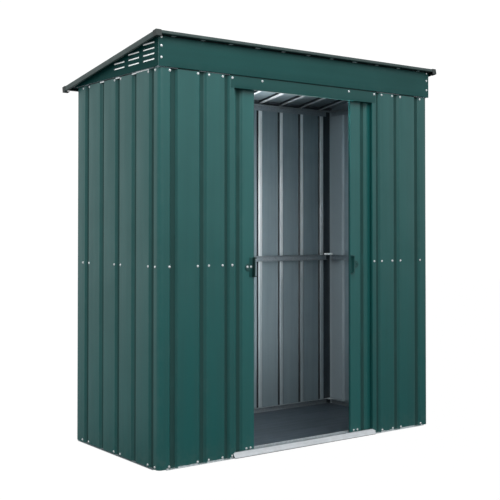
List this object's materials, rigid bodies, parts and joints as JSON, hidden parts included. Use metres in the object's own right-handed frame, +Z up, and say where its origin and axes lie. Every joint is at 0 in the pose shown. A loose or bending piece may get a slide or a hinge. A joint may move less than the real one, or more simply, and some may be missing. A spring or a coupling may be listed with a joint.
{
  "type": "metal storage shed",
  "caption": "Small pent-roof garden shed in ribbed green sheet steel, with sliding doors, a low ramp, vented gables and zinc rails inside.",
  "frame": {"origin": "on the ground, under the middle of the roof's outline", "axes": "+X along the front to the right, +Y from the front to the back, +Z up"},
  "size_m": [1.8452, 0.9708, 2.0094],
  "materials": {
    "sheet_green": "satin dark green paint on folded sheet steel",
    "trim_dark": "satin grey-green paint",
    "zinc": "galvanised, with soft spangle",
    "bright_zinc": "bright galvanised",
    "aluminium": "mill finish",
    "cap_plastic": "moulded",
    "handle_plastic": "moulded, dark green",
    "nylon": "moulded nylon",
    "floor_sheet": "grey coated sheet steel"
  },
  "bodies": {
    "shell": {"floor_panel": "floor_sheet", "front_base_rail": "zinc", "back_base_rail": "zinc", "side_base_rails": "zinc", "corner_plates": "bright_zinc", "door_ramp": "aluminium", "corner_front_left": "sheet_green", "corner_front_right": "sheet_green", "corner_back_left": "sheet_green", "corner_back_right": "sheet_green", "front_panel_left": "sheet_green", "front_panel_right": "sheet_green", "door_jambs": "sheet_green", "door_header": "sheet_green", "left_wall_panel_front": "sheet_green", "left_wall_panel_back": "sheet_green", "right_wall_panel_front": "sheet_green", "right_wall_panel_back": "sheet_green", "back_wall_panel_left": "sheet_green", "back_wall_panel_centre": "sheet_green", "back_wall_panel_right": "sheet_green", "front_mid_rails": "zinc", "back_mid_rail": "zinc", "side_mid_rails": "zinc", "front_top_track": "zinc", "back_top_rail": "zinc", "side_top_rails": "zinc", "fascia": "sheet_green", "left_gable": "sheet_green", "right_gable": "sheet_green", "roof_panel_left": "sheet_green", "roof_panel_centre": "sheet_green", "roof_panel_right": "sheet_green", "roof_front_trim": "trim_dark", "roof_back_trim": "trim_dark", "roof_side_trims": "trim_dark", "roof_corner_caps": "cap_plastic"},
    "left_door": {"left_door_panel": "sheet_green", "left_door_stiffeners": "zinc", "left_door_handle": "handle_plastic", "left_door_slides": "nylon"},
    "right_door": {"right_door_panel": "sheet_green", "right_door_stiffeners": "zinc", "right_door_handle": "handle_plastic", "right_door_slides": "nylon"}
  },
  "joints": [
    {"name": "left_door_slide", "type": "slide", "parent": "shell", "child": "left_door", "axis": [1, 0, 0], "range_m": [0, 0.3185]},
    {"name": "right_door_slide", "type": "slide", "parent": "shell", "child": "right_door", "axis": [-1, 0, 0], "range_m": [0, 0.3185]}
  ]
}
